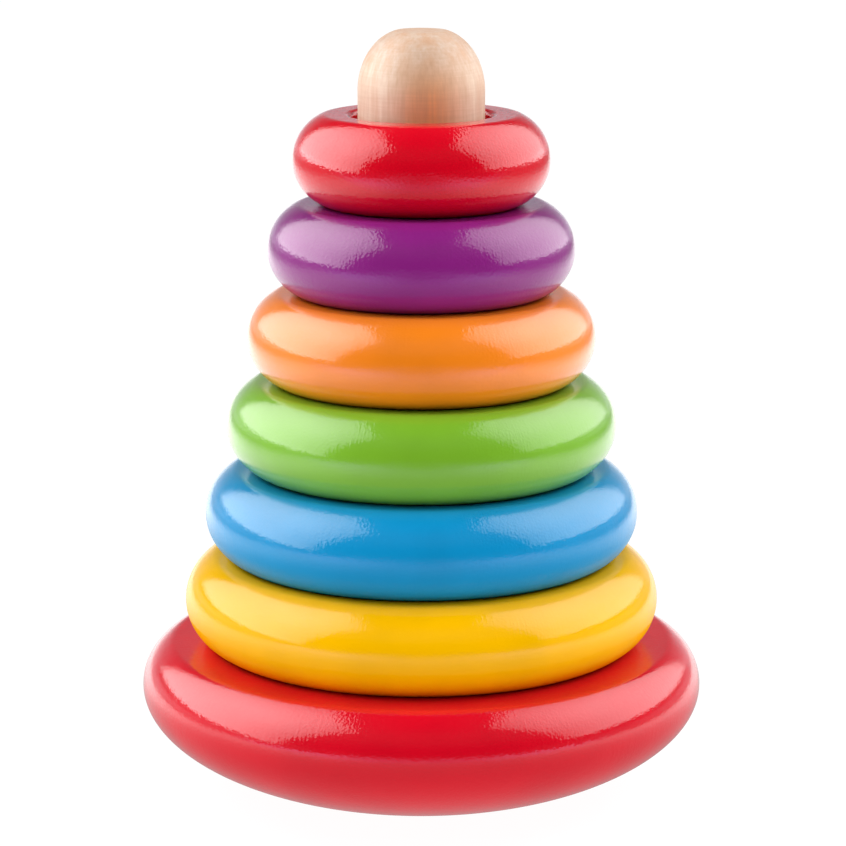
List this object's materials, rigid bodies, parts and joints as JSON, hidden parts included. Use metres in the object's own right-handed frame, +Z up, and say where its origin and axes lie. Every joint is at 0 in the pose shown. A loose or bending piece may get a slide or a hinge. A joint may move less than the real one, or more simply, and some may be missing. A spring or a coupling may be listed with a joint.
{
  "type": "wooden stacking pyramid",
  "caption": "Toddler's stacking toy: lacquered wooden rings, each narrower than the one below, lift off a domed bare-wood post that stands in a rounded rocking base.",
  "frame": {"origin": "centre of the flat foot under the base, on the surface the toy stands on", "axes": "+Z up along the post; -Y towards the camera of the picture and +X to its right; the part is round, so its heading is free"},
  "size_m": [0.14, 0.14, 0.1892],
  "materials": {
    "red_lacquer": "gloss red lacquer",
    "yellow_lacquer": "gloss yellow lacquer",
    "blue_lacquer": "gloss blue lacquer",
    "green_lacquer": "gloss green lacquer",
    "orange_lacquer": "gloss orange lacquer",
    "purple_lacquer": "gloss purple lacquer",
    "bare_wood": "sanded, clear satin",
    "zinc_steel": "zinc plated"
  },
  "bodies": {
    "stand": {"base": "red_lacquer", "post": "bare_wood", "fixing_screw": "zinc_steel", "screw_plug": "bare_wood"},
    "yellow": {"yellow_ring": "yellow_lacquer"},
    "blue": {"blue_ring": "blue_lacquer"},
    "green": {"green_ring": "green_lacquer"},
    "orange": {"orange_ring": "orange_lacquer"},
    "purple": {"purple_ring": "purple_lacquer"},
    "red": {"red_ring": "red_lacquer"}
  },
  "joints": [
    {"name": "yellow_lift", "type": "slide", "parent": "stand", "child": "yellow", "axis": [0, 0, 1], "range_m": [0, 0.165]},
    {"name": "blue_lift", "type": "slide", "parent": "yellow", "child": "blue", "axis": [0, 0, 1], "range_m": [0, 0.143]},
    {"name": "green_lift", "type": "slide", "parent": "blue", "child": "green", "axis": [0, 0, 1], "range_m": [0, 0.121]},
    {"name": "orange_lift", "type": "slide", "parent": "green", "child": "orange", "axis": [0, 0, 1], "range_m": [0, 0.099]},
    {"name": "purple_lift", "type": "slide", "parent": "orange", "child": "purple", "axis": [0, 0, 1], "range_m": [0, 0.077]},
    {"name": "red_lift", "type": "slide", "parent": "purple", "child": "red", "axis": [0, 0, 1], "range_m": [0, 0.055]}
  ]
}
